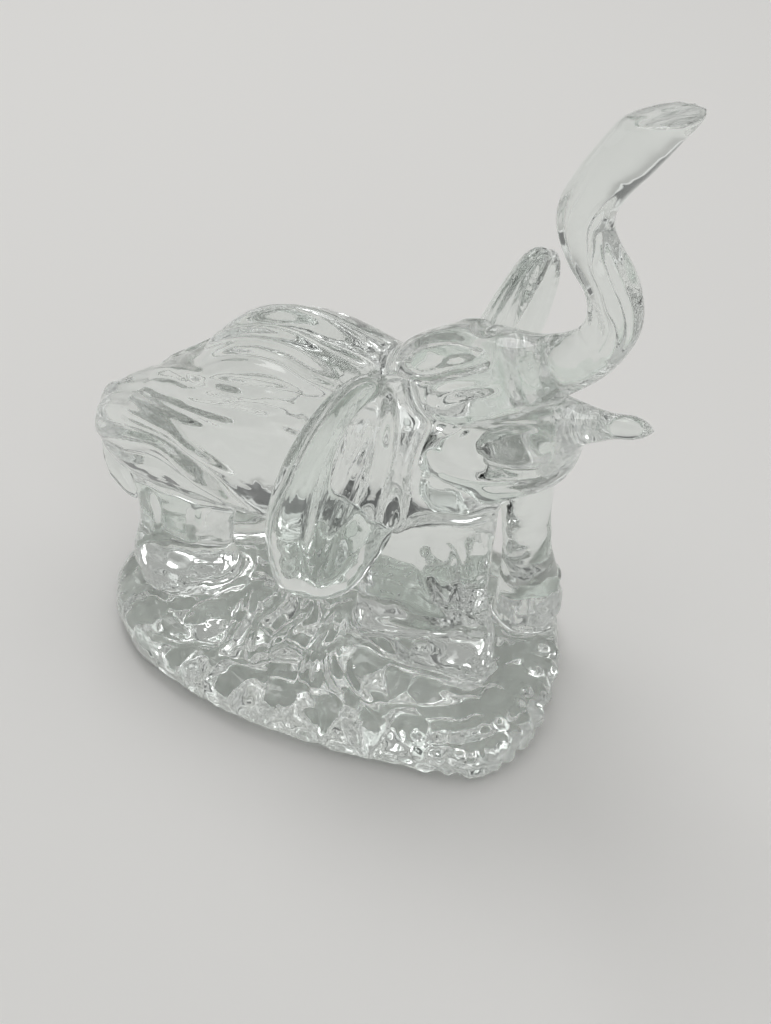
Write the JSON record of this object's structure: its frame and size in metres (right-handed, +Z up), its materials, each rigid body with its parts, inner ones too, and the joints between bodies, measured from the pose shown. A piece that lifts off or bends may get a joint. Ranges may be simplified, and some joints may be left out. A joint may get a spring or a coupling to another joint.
{
  "type": "glass elephant figurine",
  "caption": "Hot-worked clear glass elephant with a raised trunk, spread ears and a thick pressed foot that rests flat on a shelf or table.",
  "frame": {"origin": "middle of the foot's flat underside, on the table", "axes": "+Z up, +X the way the elephant faces, +Y its left side"},
  "size_m": [0.111, 0.0608, 0.1113],
  "materials": {
    "clear_glass": "fire-polished clear glass with a faint grey-green tint"
  },
  "bodies": {
    "root": {"foot": "clear_glass", "torso": "clear_glass", "head": "clear_glass", "front_leg_right": "clear_glass", "front_leg_left": "clear_glass", "rear_leg_right": "clear_glass", "rear_leg_left": "clear_glass", "trunk": "clear_glass", "lower_jaw": "clear_glass", "ear_right": "clear_glass", "ear_left": "clear_glass", "tail": "clear_glass"}
  },
  "joints": []
}
